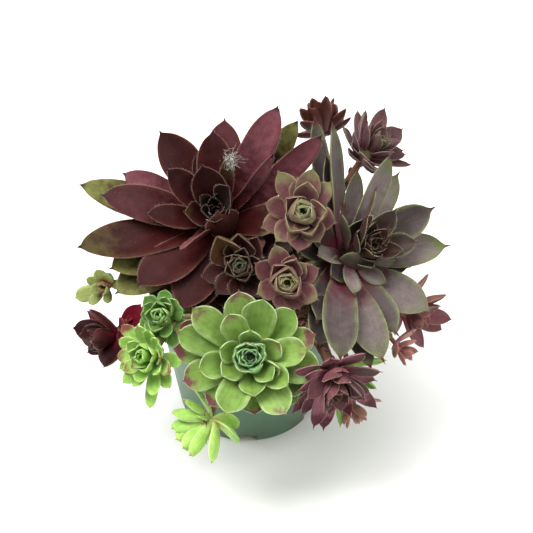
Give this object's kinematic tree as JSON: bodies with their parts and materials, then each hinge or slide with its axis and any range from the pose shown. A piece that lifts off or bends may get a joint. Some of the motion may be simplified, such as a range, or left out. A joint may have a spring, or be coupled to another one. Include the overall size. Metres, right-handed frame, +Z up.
{
  "type": "potted hens and chicks succulent",
  "caption": "Potted hens and chicks: large pointed leaf rosettes over a ring of small offsets on arched runners, spilling over a tapered round nursery pot.",
  "frame": {"origin": "middle of the pot's flat underside", "axes": "+Z up along the pot's axis, -Y towards the side that the largest green rosette leans over, +X to the right seen from there"},
  "size_m": [0.189, 0.1688, 0.1671],
  "materials": {
    "pot_plastic": "satin, finely grained",
    "potting_mix": "matt, crumbly",
    "dark_hen_leaf": "waxy satin with fine hairs",
    "grey_hen_leaf": "waxy satin with fine hairs",
    "green_hen_leaf": "waxy satin with fine hairs",
    "rose_chick_upper_leaf": "waxy satin with fine hairs",
    "rose_chick_lower_leaf": "waxy satin with fine hairs",
    "plum_chick_leaf": "waxy satin with fine hairs",
    "wine_chick_left_leaf": "waxy satin with fine hairs",
    "bead_chick_leaf": "waxy satin with fine hairs",
    "lime_chick_closed_leaf": "waxy satin with fine hairs",
    "lime_chick_open_leaf": "waxy satin with fine hairs",
    "lime_chick_hanging_leaf": "waxy satin with fine hairs",
    "wine_chick_front_leaf": "waxy satin with fine hairs",
    "leaf_green_chick_leaf": "waxy satin with fine hairs",
    "amber_chick_leaf": "waxy satin with fine hairs",
    "berry_chick_leaf": "waxy satin with fine hairs",
    "coral_chick_leaf": "waxy satin with fine hairs",
    "wine_chick_back_leaf": "waxy satin with fine hairs",
    "mauve_chick_back_leaf": "waxy satin with fine hairs"
  },
  "bodies": {
    "root": {"pot": "pot_plastic", "potting_mix": "potting_mix", "dark_hen": "dark_hen_leaf", "grey_hen": "grey_hen_leaf", "green_hen": "green_hen_leaf", "rose_chick_upper": "rose_chick_upper_leaf", "rose_chick_lower": "rose_chick_lower_leaf", "plum_chick": "plum_chick_leaf", "wine_chick_left": "wine_chick_left_leaf", "bead_chick": "bead_chick_leaf", "lime_chick_closed": "lime_chick_closed_leaf", "lime_chick_open": "lime_chick_open_leaf", "lime_chick_hanging": "lime_chick_hanging_leaf", "wine_chick_front": "wine_chick_front_leaf", "leaf_green_chick": "leaf_green_chick_leaf", "amber_chick": "amber_chick_leaf", "berry_chick": "berry_chick_leaf", "coral_chick": "coral_chick_leaf", "wine_chick_back": "wine_chick_back_leaf", "mauve_chick_back": "mauve_chick_back_leaf"}
  },
  "joints": []
}
